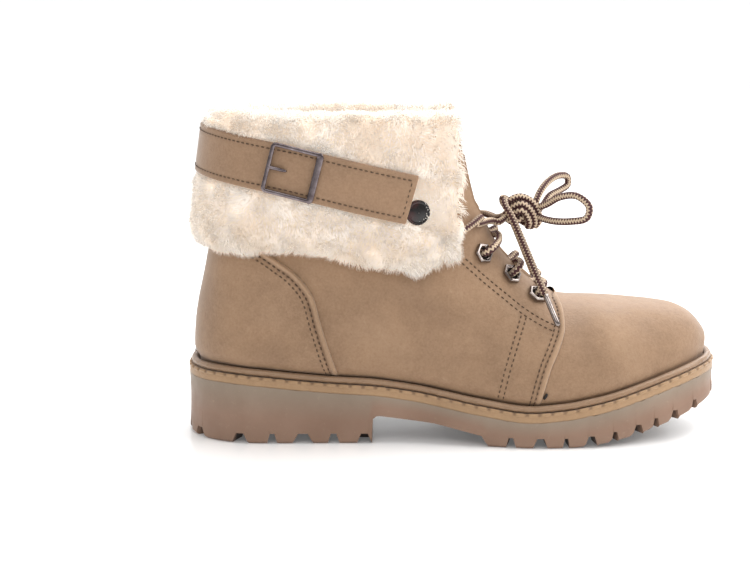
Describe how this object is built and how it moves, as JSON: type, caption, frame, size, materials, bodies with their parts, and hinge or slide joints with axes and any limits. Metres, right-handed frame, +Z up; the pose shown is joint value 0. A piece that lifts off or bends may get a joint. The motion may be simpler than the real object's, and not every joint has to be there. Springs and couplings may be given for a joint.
{
  "type": "sheepskin boot",
  "caption": "Ankle boot with a folded fur collar, a buckled strap round it, lacing over hexagonal eyelets, a raised heel counter and a lugged rubber sole.",
  "frame": {"origin": "on the floor under the centre of the boot's box, the free lace left out", "axes": "+X towards the toe, +Y to the wearer's left, which is the boot's inner side, +Z up"},
  "size_m": [0.2724, 0.107, 0.1635],
  "materials": {
    "sole_rubber": "satin",
    "welt_strip": "matte",
    "bead_leather": "satin",
    "insole_wool": "matte",
    "upper_leather": "matte",
    "fleece": "matte",
    "strap_leather": "matte",
    "aged_metal": "satin",
    "button_dark": "gloss",
    "lace_cotton": "matte",
    "aglet_dark": "satin"
  },
  "bodies": {
    "root": {"outsole": "sole_rubber", "welt": "welt_strip", "bead": "bead_leather", "insole": "insole_wool", "upper": "upper_leather", "tongue": "upper_leather", "cuff": "fleece", "strap": "strap_leather", "buckle": "aged_metal", "buckle_prong": "aged_metal", "button": "button_dark", "eyelet_outer_1": "aged_metal", "eyelet_outer_2": "aged_metal", "eyelet_outer_3": "aged_metal", "eyelet_outer_4": "aged_metal", "eyelet_inner_1": "aged_metal", "eyelet_inner_2": "aged_metal", "eyelet_inner_3": "aged_metal", "eyelet_inner_4": "aged_metal", "lace_crossings": "lace_cotton", "lace_knot": "lace_cotton", "lace_loop_near": "lace_cotton", "lace_loop_far": "lace_cotton", "lace_end_outer": "lace_cotton", "lace_end_inner": "lace_cotton", "aglet_outer": "aglet_dark", "aglet_inner": "aglet_dark"}
  },
  "joints": []
}
